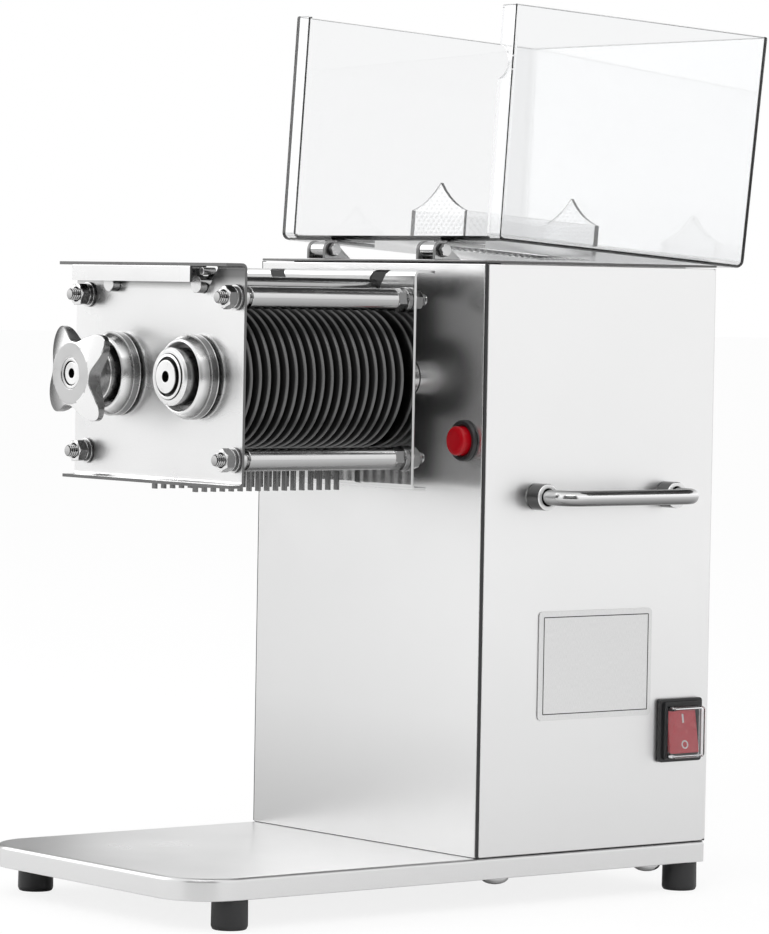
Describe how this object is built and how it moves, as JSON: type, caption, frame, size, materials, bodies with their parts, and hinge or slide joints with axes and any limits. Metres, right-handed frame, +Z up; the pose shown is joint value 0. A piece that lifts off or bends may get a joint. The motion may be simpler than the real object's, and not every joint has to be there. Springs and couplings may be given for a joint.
{
  "type": "meat slicer",
  "caption": "Bench meat slicer: a steel cabinet drives a detachable cassette of interleaved blade rolls with stripper combs, over a base tray, under a hinged clear guard.",
  "frame": {"origin": "on the floor, under the middle of the outline's bounding box", "axes": "+Z up; -Y is the front, where the cassette hangs over the tray; +X is the side with the rocker switch"},
  "size_m": [0.314, 0.4594, 0.5767],
  "materials": {
    "tray_steel": "fine horizontal brushing",
    "cabinet_steel": "fine satin stainless steel",
    "cassette_steel": "satin stainless steel",
    "polished_steel": "polished stainless steel",
    "blade_steel": "dark coated steel with bright edges",
    "inner_steel": "machined steel",
    "cast_aluminium": "cast and machined",
    "motor_paint": "satin dark grey paint",
    "black_rubber": "matt rubber",
    "black_plastic": "matt black plastic",
    "red_plastic": "glossy red plastic",
    "clear_plastic": "clear, slightly smoky plastic"
  },
  "bodies": {
    "cabinet": {"base_tray": "tray_steel", "foot_front_left": "black_rubber", "foot_front_right": "black_rubber", "foot_rear_left": "black_rubber", "foot_rear_right": "black_rubber", "cabinet_front_panel": "cabinet_steel", "cabinet_rear_cover": "cabinet_steel", "cabinet_top_panel": "cabinet_steel", "cabinet_left_side": "cabinet_steel", "cabinet_right_side": "cabinet_steel", "cord_gland": "black_plastic", "motor_housing": "motor_paint", "motor_cradle": "cast_aluminium", "drive_belt": "black_rubber", "gearbox_front_plate": "cast_aluminium", "gearbox_rear_plate": "cast_aluminium", "hinge_bracket_left": "cabinet_steel", "hinge_bracket_right": "cabinet_steel", "button_bezel": "black_plastic", "switch_bezel": "black_plastic", "switch_boot": "clear_plastic", "blank_plate": "cabinet_steel", "handle_left": "polished_steel", "handle_right": "polished_steel"},
    "cover": {"guard_cover": "clear_plastic", "feed_chute": "clear_plastic", "hinge_barrel_left": "cabinet_steel", "hinge_barrel_right": "cabinet_steel"},
    "cassette": {"cassette_front_plate": "cassette_steel", "cassette_rear_plate": "cassette_steel", "tie_rod_upper_left": "polished_steel", "tie_rod_upper_right": "polished_steel", "tie_rod_lower_left": "polished_steel", "tie_rod_lower_right": "polished_steel", "tie_nut_upper_left": "polished_steel", "tie_nut_upper_right": "polished_steel", "tie_nut_lower_left": "polished_steel", "tie_nut_lower_right": "polished_steel", "front_bearing_cup_left": "polished_steel", "front_bearing_cup_right": "polished_steel", "rear_bearing_cup_left": "polished_steel", "rear_bearing_cup_right": "polished_steel", "comb_left": "polished_steel", "comb_right": "polished_steel"},
    "roll_right": {"roll_shaft_right": "polished_steel", "blade_pack_right": "blade_steel", "shaft_cap_right": "polished_steel"},
    "roll_left": {"roll_shaft_left": "polished_steel", "blade_pack_left": "blade_steel", "star_knob": "polished_steel"},
    "output_right": {"output_shaft_right": "polished_steel", "output_gear_right": "inner_steel"},
    "output_left": {"output_shaft_left": "polished_steel", "output_gear_left": "inner_steel"},
    "layshaft": {"pinion_shaft": "inner_steel", "driven_pulley": "cast_aluminium"},
    "motor_rotor": {"motor_shaft": "inner_steel", "motor_pulley": "cast_aluminium"},
    "button": {"button_cap": "red_plastic"},
    "rocker": {"switch_rocker": "red_plastic"}
  },
  "joints": [
    {"name": "cover_hinge", "type": "hinge", "parent": "cabinet", "child": "cover", "pos_m": [0, -0.00267, 0.4196], "axis": [1, 0, 0], "range_deg": [0, 183.82]},
    {"name": "cassette_slide", "type": "slide", "parent": "cabinet", "child": "cassette", "axis": [0, 1, 0], "range_m": [-0.06, 0]},
    {"name": "roll_right_spin", "type": "hinge", "parent": "cassette", "child": "roll_right", "pos_m": [0.042, 0, 0.3373], "axis": [0, 1, 0], "continuous": true},
    {"name": "roll_left_spin", "type": "hinge", "parent": "cassette", "child": "roll_left", "pos_m": [-0.042, 0, 0.3373], "axis": [0, 1, 0], "continuous": true},
    {"name": "output_right_spin", "type": "hinge", "parent": "cabinet", "child": "output_right", "pos_m": [0.042, 0, 0.3373], "axis": [0, 1, 0], "continuous": true},
    {"name": "output_left_spin", "type": "hinge", "parent": "cabinet", "child": "output_left", "pos_m": [-0.042, 0, 0.3373], "axis": [0, 1, 0], "continuous": true},
    {"name": "layshaft_spin", "type": "hinge", "parent": "cabinet", "child": "layshaft", "pos_m": [0.042, 0, 0.2683], "axis": [0, 1, 0], "continuous": true},
    {"name": "motor_spin", "type": "hinge", "parent": "cabinet", "child": "motor_rotor", "pos_m": [-0.018, 0, 0.103], "axis": [0, 1, 0], "continuous": true},
    {"name": "button_press", "type": "slide", "parent": "cabinet", "child": "button", "axis": [0, 1, 0], "range_m": [0, 0.004], "stiffness_N_per_m": 300, "springref_m": -0.002},
    {"name": "switch_rock", "type": "hinge", "parent": "cabinet", "child": "rocker", "pos_m": [0.1208, 0.16258, 0.10705], "axis": [0, 1, 0], "range_deg": [0, 18]}
  ],
  "couplings": [
    {"joint": "roll_left_spin", "follows": "roll_right_spin", "ratio": -1},
    {"joint": "output_right_spin", "follows": "roll_right_spin", "ratio": 1},
    {"joint": "output_left_spin", "follows": "roll_right_spin", "ratio": -1},
    {"joint": "layshaft_spin", "follows": "roll_right_spin", "ratio": -1.5556},
    {"joint": "motor_spin", "follows": "roll_right_spin", "ratio": -5.1204}
  ]
}
